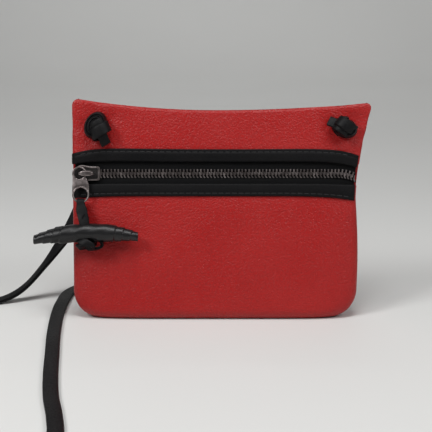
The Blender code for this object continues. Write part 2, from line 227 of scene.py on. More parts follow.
def outward(across, height, face):
    step = 0.002
    side = surface(min(across + step, 1.0), height, face) - surface(max(across - step, -1.0), height, face)
    up = surface(across, min(height + 0.3, pouch["top"]), face) - surface(across, max(height - 0.3, 0.0), face)
    out = -face * side.cross(up)
    if abs(across) > 0.999:
        out.y = 0.0
    return out.normalized() if out.length > 1e-9 else Vector((0, face, 0))


def lifted(across, height, out, face=-1):
    return surface(across, height, face) + outward(across, height, face) * out


def acrossAt(x, height):
    return x / halfWidth(height, x)


def faceFrame(place):
    return Matrix.Translation(Vector(place) * mm) @ Matrix.Rotation(-leanTurn, 4, "X")


def onZip(x, out, z):
    # a point of the frame that rides the zip: along it, out of the face, up the face
    turned = Matrix.Rotation(-leanTurn, 3, "X") @ Vector((x, -out, z))
    return Vector(slider["place"]) + turned


# camera first, then the strap

view = {"target": (0, 0, 0.075), "distance": 0.8, "elevation": 13.0, "lens": 94.8, "shiftUp": -0.011}

bpy.ops.object.select_all(action="DESELECT")
bpy.ops.object.camera_add()
camera = named("camera")
rise = math.radians(view["elevation"])
camera.location = Vector(view["target"]) + view["distance"] * Vector((0, -math.cos(rise), math.sin(rise)))
camera.rotation_euler = (math.pi / 2 - rise, 0, 0)
camera.data.lens = view["lens"]
camera.data.shift_y = view["shiftUp"]
bpy.context.scene.camera = camera
bpy.context.scene.view_settings.view_transform = "Standard"  # plain studio colours
print("camera placed")


# shader expressions

class Value:
    def __init__(self, paint, socket):
        self.paint = paint
        self.socket = socket

    def sum(self, operation, first, second):
        return self.paint.add("ShaderNodeMath", {"operation": operation}, {0: first, 1: second})

    def __add__(self, other):
        return self.sum("ADD", self, other)

    def __sub__(self, other):
        return self.sum("SUBTRACT", self, other)

    def __rsub__(self, other):
        return self.sum("SUBTRACT", other, self)

    def __mul__(self, other):
        return self.sum("MULTIPLY", self, other)

    def __pow__(self, other):
        return self.sum("POWER", self, other)

    __radd__ = __add__
    __rmul__ = __mul__


class Paint:
    def __init__(self, name, roughness, metallic=0.0):
        self.material = bpy.data.materials.new(name)
        self.material.use_nodes = True
        self.tree = self.material.node_tree
        self.shader = self.tree.nodes["Principled BSDF"]
        self.shader.inputs["Roughness"].default_value = roughness
        self.shader.inputs["Metallic"].default_value = metallic

    def feed(self, socket, value):
        if isinstance(value, Value):
            self.tree.links.new(value.socket, socket)
        else:
            socket.default_value = value

    def add(self, kind, settings=None, sockets=None, output=0):
        node = self.tree.nodes.new(kind)
        for key, value in (settings or {}).items():
            if key == "stops":
                for stop, (at, shade) in zip(node.color_ramp.elements, value):
                    stop.position, stop.color = at, (shade, shade, shade, 1)
            else:
                setattr(node, key, value)
        for key, value in (sockets or {}).items():
            self.feed(node.inputs[key], value)
        return Value(self, node.outputs[output])

    def place(self, stretch=(1, 1, 1), turn=(0, 0, 0)):
        where = self.add("ShaderNodeTexCoord", output="Object")
        return self.add("ShaderNodeMapping", sockets={"Vector": where, "Scale": stretch, "Rotation": turn})

    def noise(self, where, size, detail=3.0, distortion=0.0):
        sockets = {"Vector": where, "Scale": 1 / size, "Detail": detail, "Distortion": distortion}
        return self.add("ShaderNodeTexNoise", sockets=sockets)

    def cells(self, where, size, feature="F1", output="Distance"):
        return self.add("ShaderNodeTexVoronoi", {"feature": feature}, {"Vector": where, "Scale": 1 / size}, output)

    def ramp(self, value, low, high):
        return self.add("ShaderNodeMapRange", {"clamp": True}, {"Value": value, "From Min": low, "From Max": high})

    def mix(self, share, first, second):
        return self.add("ShaderNodeMix", {"data_type": "RGBA"}, {0: share, 6: (*first, 1) if isinstance(first, tuple)
                        else first, 7: (*second, 1) if isinstance(second, tuple) else second}, 2)

    def bump(self, height, depth, strength=1.0):
        return self.add("ShaderNodeBump", sockets={"Height": height, "Distance": depth, "Strength": strength})

    def done(self, **inputs):
        for key, value in inputs.items():
            self.feed(self.shader.inputs[key.replace("_", " ")], value)
        return self.material


def pebbledLeather(name, tone):
    # soft cow hide: round pebbles, fine creases between them, and pores
    paint = Paint(name, tone["roughness"])
    where = paint.place()
    drift = paint.add("ShaderNodeVectorMath", {"operation": "SCALE"}, {
        0: paint.add("ShaderNodeTexNoise", sockets={"Vector": where, "Scale": 260.0, "Detail": 2.0}, output="Color"),
        "Scale": 0.0005})
    bent = paint.add("ShaderNodeVectorMath", {"operation": "ADD"}, {0: where, 1: drift})
    pebble = paint.cells(bent, tone["pebble"], "SMOOTH_F1")
    crease = paint.ramp(paint.cells(bent, tone["pebble"] * 1.9, "DISTANCE_TO_EDGE"), 0.0, 0.09)
    pores = paint.noise(where, tone["pebble"] * 0.22, 2.0)
    patches = paint.noise(where, 0.045, 3.0)
    height = (1 - pebble) * 0.9 + crease * 0.15 + pores * 0.12
    depth = paint.ramp(crease * 0.25 + (1 - pebble) * 0.8, 0.2, 0.9)
    # painted shade: the colour darkens in the creases and low ground between the pebbles
    colour = paint.mix(depth, tone["valleyShade"], tone["colour"])
    colour = paint.mix(paint.ramp(patches, 0.35, 0.7) * tone["patchy"], colour, tone["worn"])
    shine = tone["roughness"] + 0.16 * (1 - depth) + 0.10 * (paint.ramp(patches, 0.3, 0.7) - 0.5)
    paint.shader.inputs["Specular IOR Level"].default_value = tone["shine"]
    paint.shader.inputs["Sheen Weight"].default_value = tone["sheen"]
    paint.shader.inputs["Sheen Roughness"].default_value = 0.5
    return paint.done(Base_Color=colour, Roughness=shine, Normal=paint.bump(height, tone["depth"], tone["strength"]))


def gunMetal():
    paint = Paint("gunmetal plating", 0.3, 1.0)
    where = paint.place()
    scratches = paint.noise(paint.place((1.0, 1.0, 14.0), (0.3, 0.5, 0.2)), 0.0022, 4.0)
    stain = paint.noise(where, 0.004, 3.0)
    rub = paint.ramp(stain, 0.42, 0.7)
    colour = paint.mix(rub, (0.17, 0.145, 0.14), (0.40, 0.35, 0.34))
    height = scratches * 0.5 + paint.noise(where, 0.0006, 2.0) * 0.5
    return paint.done(Base_Color=colour, Roughness=0.24 + 0.2 * scratches + 0.08 * stain,
                      Normal=paint.bump(height, 0.00001, 0.5))


def wovenTape():
    paint = Paint("woven zip tape", 0.8)
    ribs = paint.add("ShaderNodeTexWave", {"bands_direction": "X"}, {"Vector": paint.place(), "Scale": 520.0})
    weft = paint.add("ShaderNodeTexWave", {"bands_direction": "Z"}, {"Vector": paint.place(), "Scale": 300.0})
    weave = ribs * 0.6 + weft * ribs * 0.4
    fuzz = paint.noise(paint.place(), 0.0003, 2.0)
    colour = paint.mix(weave * 0.8 + fuzz * 0.2, (0.0015, 0.0015, 0.0018), (0.006, 0.006, 0.0066))
    paint.shader.inputs["Specular IOR Level"].default_value = 0.15
    return paint.done(Base_Color=colour, Roughness=0.7 + 0.2 * fuzz, Normal=paint.bump(weave + fuzz * 0.3, 0.00018))


def waxedThread():
    paint = Paint("waxed thread", 0.5)
    ply = paint.add("ShaderNodeTexWave", {"bands_direction": "DIAGONAL"}, {"Vector": paint.place(), "Scale": 700.0})
    colour = paint.mix(ply, (0.008, 0.008, 0.009), (0.034, 0.033, 0.035))
    paint.shader.inputs["Specular IOR Level"].default_value = 0.3
    return paint.done(Base_Color=colour, Roughness=0.55 + 0.2 * (1 - ply), Normal=paint.bump(ply, 0.0001))


def suedeSide():
    # the unlined inner side of the hide
    paint = Paint("suede flesh side", 0.95)
    nap = paint.noise(paint.place(), 0.0007, 4.0)
    colour = paint.mix(nap, (0.010, 0.006, 0.006), (0.035, 0.018, 0.018))
    return paint.done(Base_Color=colour, Roughness=0.88 + 0.1 * nap, Normal=paint.bump(nap, 0.0002))


def recessShade():
    # painted shade: near-black metal for the slider's recessed face, mottled by noise
    paint = Paint("painted recess shade", 0.55, 0.6)
    recessMottle = paint.noise(paint.place(), 0.0012, 4.0)
    colour = paint.mix(recessMottle, (0.008, 0.007, 0.007), (0.03, 0.026, 0.025))
    return paint.done(Base_Color=colour, Roughness=0.45 + 0.3 * recessMottle, Normal=paint.bump(recessMottle, 0.00005))


def paleSweep():
    paint = Paint("pale floor", 0.75)
    soft = paint.noise(paint.place(), 0.3, 2.0)
    fine = paint.noise(paint.place(), 0.002, 2.0)
    colour = paint.mix(soft * 0.6 + fine * 0.1, (0.66, 0.66, 0.645), (0.72, 0.72, 0.705))
    return paint.done(Base_Color=colour, Roughness=0.7 + 0.1 * fine, Normal=paint.bump(fine, 0.0001, 0.3))


# the valley colours are painted shade for the creases between pebbles
redTone = {
    "colour": (0.365, 0.010, 0.0095), "valleyShade": (0.28, 0.007, 0.007), "worn": (0.40, 0.016, 0.014), "patchy": 0.3,
    "pebble": 0.0012, "depth": 0.0004, "strength": 1.0, "roughness": 0.34, "shine": 0.34, "sheen": 0.0,
}
blackTone = {
    "colour": (0.0052, 0.005, 0.0056), "valleyShade": (0.002, 0.002, 0.0024), "worn": (0.009, 0.0086, 0.009), "patchy": 0.3,
    "pebble": 0.0009, "depth": 0.00014, "strength": 0.6, "roughness": 0.48, "shine": 0.12, "sheen": 0.0,
}
redLeather = pebbledLeather("red pebbled leather", redTone)
blackLeather = pebbledLeather("black facing leather", blackTone)
strapLeather = pebbledLeather("black strap leather", {**blackTone, "roughness": 0.46, "shine": 0.16})
toggleLeather = pebbledLeather("black rolled leather", {**blackTone, "roughness": 0.3, "shine": 0.45, "patchy": 0.2})
fleshSide = suedeSide()
metal = gunMetal()
recessShadeMetal = recessShade()
tape = wovenTape()
thread = waxedThread()
print("finishes mixed")


# the strap

strap = {"width": 9.5, "thick": 2.6, "spacing": 3.0, "onFloor": 1.35, "tubeOnFloor": 4.8, "length": 1.24}
strapRoute = [
    (-83.6, 10.6, 133.0), (-83.6, 30.0, 133.0), (-84.0, 40.0, 126.0), (-87.0, 43.0, 110.0), (-94.0, 41.5, 84.0),
    (-106.0, 39.0, 57.0), (-119.0, 36.0, 37.0), (-134.0, 32.0, 19.0), (-150.0, 27.0, 8.5), (-168.0, 19.0, 4.8),
    (-196.0, 0.0, 4.8), (-218.0, -32.0, 4.8), (-230.0, -75.0, 4.8), (-231.0, -120.0, 4.8), (-222.0, -170.0, 4.8),
    (-203.0, -216.0, 4.8), (-178.0, -250.0, 4.8), (-146.0, -272.0, 4.8), (-112.0, -275.0, 4.8),
    (-90.0, -255.0, 4.8), (-86.0, -218.0, 4.8), (-90.0, -188.0, 4.8), (-96.0, -159.0, 4.8), (-101.0, -125.0, 4.8),
    (-105.0, -90.0, 4.8), (-109.5, -50.0, 4.8), (-112.5, -11.0, 4.8), (-113.0, 20.0, 4.8), (-110.0, 48.0, 4.8),
    (-96.0, 68.0, 4.8), (-72.0, 74.0, 4.8), (-8.0, 64.0, 4.8), (24.0, 56.0, 7.0),
    (52.0, 49.0, 22.0), (72.0, 45.0, 52.0), (83.0, 43.0, 86.0), (89.0, 42.0, 112.0), (90.5, 39.0, 127.0),
    (90.5, 29.0, 133.0), (90.5, 10.8, 133.0),
]


def makeStrap():
    way = smoothWay(strapRoute, strap["spacing"])
    for point in way:  # the flat band lies lower on the floor than the round solid's middle
        point.z -= (strap["tubeOnFloor"] - strap["onFloor"]) * (1 - ease((point.z - 5.0) / 20.0))
    across = Vector((1, 0, 0))

    def facing(k):
        run = (way[min(k + 1, len(way) - 1)] - way[max(k - 1, 0)]).normalized()
        upright = run.cross(across)  # flat against the wall behind the pouch, then flat on the floor
        return upright.lerp(Vector((0, 0, 1)), 1 - ease((way[k].z - 14.0) / 70.0))

    band = ribbon("strap_band", way, foldedBand(strap["width"], strap["thick"]), facing)
    fitted(band, strapLeather, "pouch", "black_leather", "strap")
    length = sum((b - a).length for a, b in zip(way, way[1:])) * mm
    print("strap band:", round(length, 3), "m")
    return band, [point * mm for point in way]


strapBand, strapPath = makeStrap()


# walls of the pouch

holes = {"left": (-83.6, 133.0), "right": (90.5, 133.0), "slot": (5.6, 2.4)}
softness = {"swell": 1.15, "folds": 0.30, "dimple": 1.3, "dimpleReach": 8.0, "backSwell": 1.8}


def frontSoftness(x, z):
    # how far the filled leather stands off its solid, in millimetres
    low = max(0.0, 1 - ((z - 45.0) / 41.0) ** 2)
    side = max(0.0, 1 - (x / 99.0) ** 6)
    folds = math.sin(0.058 * x + 1.1) * math.sin(0.085 * z + 0.3) + 0.6 * math.sin(0.125 * x - 0.09 * z + 2.0)
    soft = low**0.75 * side * (softness["swell"] * (0.8 + 0.2 * math.cos(0.035 * x - 1.0)) + softness["folds"] * folds)
    if z > 112.0:
        for hole in (holes["left"], holes["right"]):
            away = Vector((x - hole[0], z - hole[1]))
            turn = math.atan2(away.y, away.x)
            pull = math.exp(-((away.length / softness["dimpleReach"]) ** 2) / 2)
            pucker = 0.35 * math.cos(5 * turn + 0.6) * math.exp(-(((away.length - 13.0) / 5.0) ** 2))
            soft -= softness["dimple"] * pull - pucker * ease((z - 119.0) / 5.0)
    return soft


def backSoftness(x, z):
    low = max(0.0, 1 - ((z - 62.0) / 60.0) ** 2)
    side = max(0.0, 1 - (x / 99.0) ** 6)
    folds = math.sin(0.05 * x + 0.4) * math.sin(0.07 * z + 1.0) + 0.5 * math.sin(0.11 * x + 0.08 * z)
    soft = low * side * (softness["backSwell"] + 0.35 * folds)
    for hole in (holes["left"], holes["right"]):
        away = Vector((x - hole[0], z - hole[1]))
        soft -= 0.9 * math.exp(-((away.length / 9.0) ** 2) / 2)
    return soft


def wallColumns():
    # close together round the sides, even over the face
    rim = [(1 - (0.9 * k / 9) ** 6) ** (1 / 6) for k in range(9)]
    flat = [0.881 - 0.881 * 2 * k / 116 for k in range(117)]
    return [-a for a in rim] + [-a for a in flat] + rim[::-1]


def wallRows(low, high):
    # (height, closing) from the seam under the base or a cut edge, up to a cut edge or the top seam
    rows = []
    corner, crown = 20.0, 6.0
    if low == 0:
        rows += [(0.0, k / 6) for k in range(6)]
        rows += [(corner * (1 - math.cos(math.pi / 2 * k / 14)), 1.0) for k in range(14)]
        low = corner
    end = high - crown if high == pouch["top"] else high
    count = round((end - low) / 1.8)
    rows += [(low + (end - low) * k / count, 1.0) for k in range(count)]
    if high == pouch["top"]:
        rows += [(end + crown * math.sin(math.pi / 2 * k / 8), 1.0) for k in range(8)]
    return rows + [(high, 1.0)]


zipEnds = {"droop": (3.2, 5.5, 8), "from": 112.5, "fade": 7.0}


def droops(height, left, right, power, across):
    # a line across the face that drops towards its ends
    return height - (left if across < 0 else right) * abs(across) ** power


def makeWall(name, low, high, face, softened, *nodes):
    across, rows = wallColumns(), wallRows(low, high)

    def place(i, j):
        height, closing = rows[j]
        if low == zipEnds["from"]:
            fade = 1 - ease((height - low) / zipEnds["fade"])
            height -= (low - droops(low, *zipEnds["droop"], across[i])) * fade
        point = surface(across[i], height, face, closing)
        if closing < 1:
            return point
        return point + outward(across[i], height, face) * softened(point.x, point.z)

    wall = loft(name, len(across) - 1, len(rows) - 1, place, whole=False)
    only(wall)
    if face > 0:
        bpy.ops.object.mode_set(mode="EDIT")
        bpy.ops.mesh.select_all(action="SELECT")
        bpy.ops.mesh.flip_normals()
        bpy.ops.object.mode_set(mode="OBJECT")
    wall.data.materials.append(redLeather)
    wall.data.materials.append(fleshSide)
    applied(wall, "SOLIDIFY", thickness=pouch["leather"] * mm, offset=-1.0, material_offset=1)
    for vertex in wall.data.vertices:  # the two walls meet at the seam and don't cross it
        seam = (depths(min(pouch["top"], vertex.co.z / mm))[0] + face * pouch["gap"]) * mm
        vertex.co.y = face * max(face * vertex.co.y, face * seam)
        vertex.co.z = max(0.0, vertex.co.z)
    if high == pouch["top"]:
        for hole in (holes["left"], holes["right"]):
            bpy.ops.mesh.primitive_cylinder_add(vertices=32, radius=mm, depth=40 * mm,
                                                location=(hole[0] * mm, 15 * mm, hole[1] * mm),
                                                rotation=(math.pi / 2, 0, 0), scale=(*holes["slot"], 1))
            punch = named("punch")
            applied(wall, "BOOLEAN", operation="DIFFERENCE", solver="EXACT", object=punch)
            bpy.data.objects.remove(punch)
    smooth(wall, 50)
    return fitted(wall, None, "pouch", "red_leather", *nodes)


makeWall("front_lower_leather", 0, 92.0, -1, frontSoftness, "front_lower_panel")
makeWall("front_upper_leather", 112.5, pouch["top"], -1, frontSoftness, "front_upper_panel")
makeWall("back_leather", 0, pouch["top"], 1, backSoftness, "back_panel")
print("walls sewn")


# facings each side of the zip

facing = {"front": 1.6, "back": 0.3, "fold": -1.0, "stitchIn": 2.1, "groove": 0.34, "puff": 0.3}
upperFacing = {"fold": (109.9, 3.2, 5.5, 8), "edge": (119.0, 5.0, 6.5, 8), "step": (112.0, 3.2, 5.5, 8)}
lowerFacing = {"fold": (94.6, 1.5, 1.5, 6), "edge": (85.9, 2.3, 4.2, 6), "step": (92.5, 0.0, 0.0, 6)}


def facingSection(strip, across):
    # (height, out) round the strip, from its edge down the front, round the fold and back up behind
    fold, edge = droops(*strip["fold"], across), droops(*strip["edge"], across)
    way = 1 if edge > fold else -1
    long = abs(edge - fold)
    round0 = (facing["front"] - facing["fold"]) / 2
    points = [(long - 0.25, 0.45), (long, 0.95), (long - 0.2, 1.42)]
    for k in range(13):
        run = long - 0.6 - (long - 0.6 - round0) * k / 12
        puff = facing["puff"] * math.sin(math.pi * k / 12)
        groove = facing["groove"] * math.exp(-(((long - run - facing["stitchIn"]) / 0.55) ** 2))
        points.append((run, facing["front"] + puff - groove))
    for k in range(1, 10):
        turn = math.pi / 2 + math.pi * k / 10
        points.append((round0 + round0 * math.cos(turn), facing["front"] - round0 + round0 * math.sin(turn)))
    step = abs(droops(*strip["step"], across) - fold)
    points += [(round0, facing["fold"]), (step - 0.3, facing["fold"]), (step, facing["back"] - 0.3)]
    points += [(step + 0.3, facing["back"]), ((step + long) / 2, facing["back"])]
    return [(fold + way * run, out) for run, out in points]


def makeFacing(name, strip, node):
    across = [a * (0.998 if a < 0 else 0.982) for a in wallColumns()]
    sections = [facingSection(strip, a) for a in across]
    around = len(sections[0])

    def place(i, j):
        height, out = sections[i][j % around]
        return lifted(across[i], height, out * (1 - 0.7 * abs(across[i]) ** 24))

    made = smooth(loft(name, len(across) - 1, around, place), 60)
    return fitted(made, blackLeather, "pouch", "black_leather", node)


makeFacing("upper_facing_strip", upperFacing, "upper_facing")
makeFacing("lower_facing_strip", lowerFacing, "lower_facing")

stitch = {"pitch": 4.6, "long": 3.4, "radius": 0.4, "from": -93.0, "to": 93.0, "dive": 0.55, "proud": 0.05}


def makeStitches(name, strip):
    # one capsule of thread, copied along the groove
    bpy.ops.object.select_all(action="DESELECT")
    bpy.ops.mesh.primitive_cylinder_add(vertices=10, radius=stitch["radius"] * mm, depth=stitch["long"] * mm)
    model = settled(named("stitch"), Matrix.Rotation(math.pi / 2, 4, "Y"))
    applied(model, "BEVEL", width=stitch["radius"] * 0.8 * mm, segments=3, limit_method="ANGLE")
    for vertex in model.data.vertices:  # the ends dive into their holes
        vertex.co.y += stitch["dive"] * mm * (vertex.co.x / (stitch["long"] / 2 * mm)) ** 4
    way = 1 if strip["edge"][0] > strip["fold"][0] else -1

    def along(across):
        height = droops(*strip["edge"], across) - way * facing["stitchIn"]
        return height, lifted(across, height, facing["front"] + stitch["proud"])

    copies = []
    for k in range(int((stitch["to"] - stitch["from"]) / stitch["pitch"]) + 1):
        across = acrossAt(stitch["from"] + k * stitch["pitch"], strip["edge"][0])
        height, here = along(across)
        out = outward(across, height, -1)
        run = (along(across + 0.01)[1] - along(across - 0.01)[1]).normalized()
        inward = (run * run.dot(out) - out).normalized()
        turn = Matrix((run, inward, run.cross(inward))).transposed().to_4x4()
        copy = model.copy()
        copy.data = model.data.copy()
        copy.data.transform(Matrix.Translation(here * mm) @ turn)
        bpy.context.collection.objects.link(copy)
        copies.append(copy)
    bpy.data.objects.remove(model)
    row = smooth(joined(name, copies), 50)
    return fitted(row, thread, "pouch", "black_leather")


makeStitches("lower_topstitch", lowerFacing)
makeStitches("upper_topstitch", upperFacing)
print("facings sewn")


# the zip: teeth, their cords and the tapes

slider = {
    "place": (-91.0, 4.13, 101.2), "front": 1.2, "back": -5.2, "plate": 1.3, "arch": 3.6, "archFrom": -5.2,
    "archTo": 5.8, "recess": 0.4, "brim": 1.35,
}
teeth = {
    "pitch": 2.42, "width": 0.95, "from": 2.5, "count": 77, "front": -0.7, "back": -3.3, "tip": 1.0,
    "bendFrom": 176.5, "bendLong": 14.0, "drop": 3.2, "recede": 1.3,
}


def chainLine(x):
    # past the slider's travel the chain drops and turns back with the side of the pouch: (in, down, slope)
    t = max(0.0, x - teeth["bendFrom"]) / teeth["bendLong"]
    return teeth["recede"] * t * t, -teeth["drop"] * t * t, math.atan(2 * teeth["drop"] * t / teeth["bendLong"])


def makeTeeth(name, up, shift, slant, node):
    # one tooth: a waisted block with a rounded head, clamped over the cord
    bpy.ops.object.select_all(action="DESELECT")
    deep, tall = teeth["front"] - teeth["back"], teeth["tip"] + 1.5
    bpy.ops.mesh.primitive_cube_add(size=mm, scale=(teeth["width"] * 0.92, deep, tall))
    tooth = named(name)
    bpy.ops.object.transform_apply(scale=True)
    for face in tooth.data.polygons:
        face.select = face.normal.z > 0.9
    for part in (*tooth.data.edges, *tooth.data.vertices):
        part.select = False
    for vertex in tooth.data.vertices:
        vertex.select = vertex.co.z > 0
    bpy.ops.object.mode_set(mode="EDIT")
    bpy.ops.mesh.select_mode(type="FACE")
    bpy.ops.mesh.extrude_region_move(TRANSFORM_OT_translate={"value": (0, 0, 1.0 * mm)})
    bpy.ops.transform.resize(value=(1.35, 1.1, 1))
    bpy.ops.mesh.extrude_region_move(TRANSFORM_OT_translate={"value": (0, 0, 0.6 * mm)})
    bpy.ops.transform.resize(value=(0.8, 0.9, 1))
    bpy.ops.mesh.select_all(action="SELECT")
    bpy.ops.mesh.bevel(offset=0.13 * mm, segments=1, affect="EDGES")
    bpy.ops.object.mode_set(mode="OBJECT")
    for vertex in tooth.data.vertices:
        vertex.co.z = up * (vertex.co.z + (tall / 2 - teeth["tip"]) * mm)
        vertex.co.x += slant * max(0.0, -vertex.co.z - 0.4 * mm)
    closed(tooth, holes=False)
    copies = []
    for k in range(teeth["count"]):
        x = teeth["from"] + shift + teeth["width"] / 2 + k * teeth["pitch"]
        back, drop, slope = chainLine(x)
        spot = Vector((x, back - (teeth["front"] + teeth["back"]) / 2, drop)) * mm
        copy = tooth.copy()
        copy.data = tooth.data.copy()
        copy.data.transform(faceFrame(slider["place"]) @ Matrix.Translation(spot) @ Matrix.Rotation(slope, 4, "Y"))
        bpy.context.collection.objects.link(copy)
        copies.append(copy)
    bpy.data.objects.remove(tooth)
    return fitted(smooth(joined(name, copies), 30), metal, "pouch", "gunmetal", node)


def makeCordEdge(name, side):
    # the round woven edge of the tape that the teeth are clamped on
    count = 96

    def place(i, j):
        turn = 2 * math.pi * j / 10
        x = teeth["from"] - 3.0 + (teeth["count"] * teeth["pitch"] + 3.5) * i / count
        back, drop, _ = chainLine(x)
        bead = 0.95 + 0.06 * math.sin(i * 2.2)
        return onZip(x, -back - 2.0 + bead * math.cos(turn), drop + side * (2.75 + bead * math.sin(turn)))

    edge = smooth(loft(name, count, 10, place))
    return fitted(edge, tape, "pouch", "zip_tape")


def makeTape(name, side, far, node):
    # the flat woven tape, from the cord to behind its facing and out to the side seams
    across = [0.988 * math.sin(math.pi / 2 * (2 * k / 90 - 1)) for k in range(91)]
    outs = [(0.0, -1.75), (0.25, -1.72), (0.5, -1.75), (0.75, -1.72), (1.0, -1.75)]
    ring = [*outs, *((share, out - 0.6) for share, out in reversed(outs))]

    def place(i, j):
        share, out = ring[j % len(ring)]
        x = across[i] * halfWidth(far, across[i]) - slider["place"][0]
        _, drop, _ = chainLine(x)
        near = slider["place"][2] + drop + side * 2.9
        edge = far + drop * 0.8
        return lifted(across[i], near + (edge - near) * share, out)

    return fitted(smooth(loft(name, 90, len(ring), place)), tape, "pouch", "zip_tape", node)


makeTeeth("chain_teeth_upper", 1, 0.0, 0.0, "teeth_upper")
makeTeeth("chain_teeth_lower", -1, teeth["pitch"] / 2, 0.55, "teeth_lower")
makeCordEdge("tape_cord_upper", 1)
makeCordEdge("tape_cord_lower", -1)
makeTape("woven_tape_upper", 1, 117.5, "zip_tape_upper")
makeTape("woven_tape_lower", -1, 87.0, "zip_tape_lower")
print("zip laid")


# slider, bridge and pull tab

def plateFrom(name, outline, front, back, edge=0.3, segments=3):
    # an outline in the zip's frame, given thickness and rounded edges
    bpy.ops.object.select_all(action="DESELECT")
    bpy.ops.mesh.primitive_circle_add(vertices=len(outline), radius=mm, fill_type="NGON")
    piece = named(name)
    for vertex, (x, z) in zip(piece.data.vertices, outline):
        vertex.co = (x * mm, -front * mm, z * mm)
    only(piece)
    bpy.ops.object.mode_set(mode="EDIT")
    bpy.ops.mesh.select_all(action="SELECT")
    bpy.ops.mesh.extrude_region_move(TRANSFORM_OT_translate={"value": (0, (front - back) * mm, 0)})
    bpy.ops.mesh.select_all(action="SELECT")
    bpy.ops.mesh.normals_make_consistent(inside=False)
    bpy.ops.object.mode_set(mode="OBJECT")
    if edge:
        applied(piece, "BEVEL", width=edge * mm, segments=segments, limit_method="ANGLE",
                angle_limit=math.radians(50))
    return piece


def arc(centre, radius, start, end, steps):
    turns = [math.radians(start + (end - start) * k / steps) for k in range(steps + 1)]
    return [(centre[0] + radius * math.cos(t), centre[1] + radius * math.sin(t)) for t in turns]


def sliderOutline(narrow=0.0):
    upper = [(9.6, 3.2), (9.45, 4.1), (8.8, 4.75), (7.6, 4.9), (3.0, 4.95), (0.6, 5.3), (-1.6, 5.9), (-3.2, 6.0)]
    upper += [(-5.0, 5.6), (-7.4, 4.3), (-8.9, 3.0), (-9.6, 1.5)]
    upper = [(x * (1 - narrow / 9.6), z * (1 - narrow / 6.0)) for x, z in upper]
    return upper + [(x, -z) for x, z in reversed(upper)]


def block(x0, x1, z0, z1):
    return [(x0, z0), (x1, z0), (x1, z1), (x0, z1)]


def makeSlider():
    inner, outer = slider["front"] - slider["plate"], slider["back"] + slider["plate"]
    parts = [plateFrom("slider_front", sliderOutline(), slider["front"], inner, 0.38)]
    parts.append(plateFrom("slider_back", sliderOutline(), outer, slider["back"], 0.3))
    parts.append(plateFrom("slider_wedge", block(-8.2, -6.9, -1.1, 1.1), inner + 0.4, outer - 0.4, 0.2))
    for side in (-1, 1):
        low, high = sorted((side * 4.1, side * 4.95))
        parts.append(plateFrom("lip_front", block(-2.0, 8.6, low, high), inner + 0.4, -0.9, 0.2))
        parts.append(plateFrom("lip_back", block(-2.0, 8.6, low, high), -3.1, outer - 0.4, 0.2))
    shell = parts[0]
    for extra in parts[1:]:
        applied(shell, "BOOLEAN", operation="UNION", solver="EXACT", object=extra)
        bpy.data.objects.remove(extra)
    floor = slider["front"] - slider["recess"]
    hollow = plateFrom("slider_hollow", sliderOutline(slider["brim"]), slider["front"] + 1, floor, 0)
    applied(shell, "BOOLEAN", operation="DIFFERENCE", solver="EXACT", object=hollow)
    bpy.data.objects.remove(hollow)
    shell.data.materials.append(metal)
    shell.data.materials.append(recessShadeMetal)
    # the recess floor faces take the painted shade
    for face in shell.data.polygons:
        face.material_index = int(abs(face.center.y + floor * mm) < 0.03 * mm and face.normal.y < -0.9)
    settled(shell, faceFrame(slider["place"]))
    shell.name = shell.data.name = "slider_shell"
    fitted(smooth(shell, 35), None, "slider", "gunmetal", "slider_body")


def makeBridge():
    # a strip bent into an arch: narrow feet, broad back
    top = slider["front"] + slider["arch"] + 0.55
    left, right = slider["archFrom"] + 0.65, slider["archTo"] - 0.65
    bends = [(left, 0.6), (left, 2.4), (left, top - 1.6), (left + 0.35, top - 0.55), (left + 1.5, top)]
    bends += [((left + right) / 2, top + 0.12), (right - 1.5, top), (right - 0.35, top - 0.55), (right, top - 1.6)]
    bends += [(right, 2.4), (right, 0.6)]
    way = [onZip(point.x, point.y, 0) for point in smoothWay([(x, out, 0.0) for x, out in bends], 0.42)]
    middle = onZip((left + right) / 2, top - 2.6, 0)
    count = len(way) - 1
    sideways = Matrix.Rotation(-leanTurn, 3, "X") @ Vector((0, 0, 1))

    def place(i, j):
        run = (way[min(i + 1, count)] - way[max(i - 1, 0)]).normalized()
        out = run.cross(sideways).normalized()
        out = out if out.dot(way[i] - middle) > 0 else -out
        over = ease((i / count - 0.22) / 0.16) * ease((0.78 - i / count) / 0.16)
        wide, thick = 0.85 + 0.95 * over, 0.62
        turn = 2 * math.pi * j / 20
        c, s = math.cos(turn), math.sin(turn)
        across = math.copysign(abs(c) ** 0.45, c) * wide
        lift = math.copysign(abs(s) ** 0.55, s) * thick
        return way[i] + sideways * across + out * lift

    arch = smooth(loft("slider_arch", count, 20, place), 50)
    fitted(arch, metal, "slider", "gunmetal", "slider_bridge")


pull = {
    "ring": (3.9, 5.0), "hole": (-3.4, -14.9), "holeRadius": 4.75, "rim": 6.0, "thick": 1.3, "out": 3.4, "tilt": 5.0,
}


def tabFrame():
    leg = slider["archFrom"] + 0.65
    place = Matrix.Translation(Vector((leg, -pull["out"], 0.0)) * mm)
    return leg, faceFrame(slider["place"]) @ place @ Matrix.Rotation(math.radians(-pull["tilt"]), 4, "X")


def ringOf(name, centre, major, minor, flat):
    bpy.ops.object.select_all(action="DESELECT")
    bpy.ops.mesh.primitive_torus_add(major_segments=56, minor_segments=14, major_radius=major * mm,
                                     minor_radius=minor * mm, rotation=(math.pi / 2, 0, 0),
                                     location=(centre[0] * mm, 0, centre[1] * mm))
    made = named(name)
    bpy.ops.object.transform_apply(location=True, rotation=True, scale=True)
    for vertex in made.data.vertices:
        vertex.co.y *= flat
    return made


